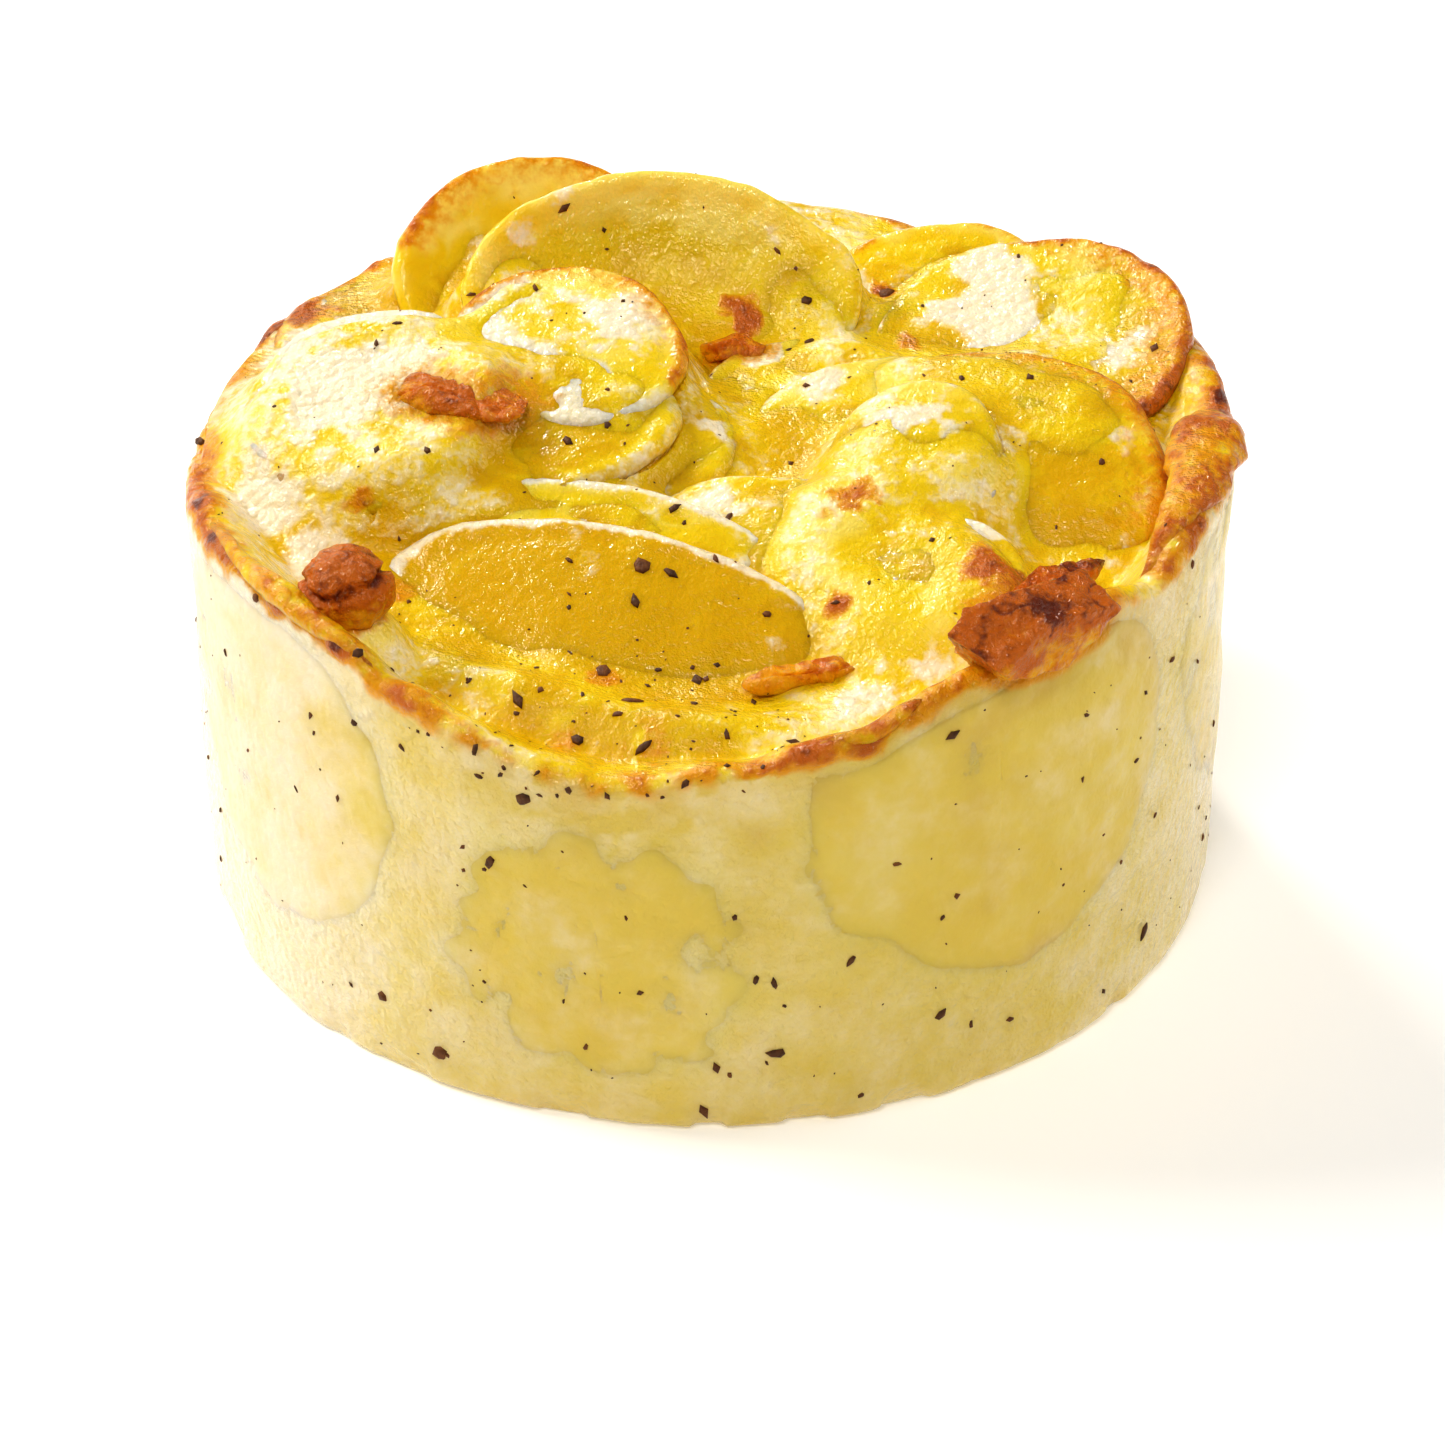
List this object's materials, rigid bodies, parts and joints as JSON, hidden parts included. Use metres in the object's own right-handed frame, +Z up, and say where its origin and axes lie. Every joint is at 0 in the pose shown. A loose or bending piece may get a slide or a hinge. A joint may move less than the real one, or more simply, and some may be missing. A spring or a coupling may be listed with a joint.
{
  "type": "individual potato gratin",
  "caption": "Round moulded portion of potato gratin: overlapping potato slices in baked cream, with browned cheese on the rim.",
  "frame": {"origin": "centre of the flat base on which the portion stands", "axes": "+Z up, out of the browned top; -Y towards the low front of the rim; +X to the right of it"},
  "size_m": [0.0759, 0.0769, 0.0441],
  "materials": {
    "baked_cream": "moist set cream and melted cheese with browned patches",
    "potato": "glossy cooked potato, deep yellow with pale edges",
    "pale_potato": "pale smooth potato pressed against the mould",
    "browned_potato": "golden potato with a browned crisp edge"
  },
  "bodies": {
    "root": {"gratin_body": "baked_cream", "slice_back": "potato", "slice_back_left": "browned_potato", "slice_back_left_low": "potato", "slice_back_middle": "potato", "slice_back_right": "potato", "slice_back_right_inner": "potato", "slice_centre": "potato", "slice_front": "potato", "slice_front_second": "potato", "slice_front_third": "potato", "slice_left_low": "potato", "slice_left_middle": "potato", "slice_left_top": "potato", "slice_left_under": "potato", "slice_right_dome": "potato", "slice_right_front": "potato", "slice_right_low": "potato", "slice_right_under": "potato", "wall_slice_back": "pale_potato", "wall_slice_back_left": "pale_potato", "wall_slice_back_right": "pale_potato", "wall_slice_far_left": "pale_potato", "wall_slice_front": "pale_potato", "wall_slice_left": "pale_potato", "wall_slice_right": "browned_potato", "wall_slice_right_front": "pale_potato"}
  },
  "joints": []
}
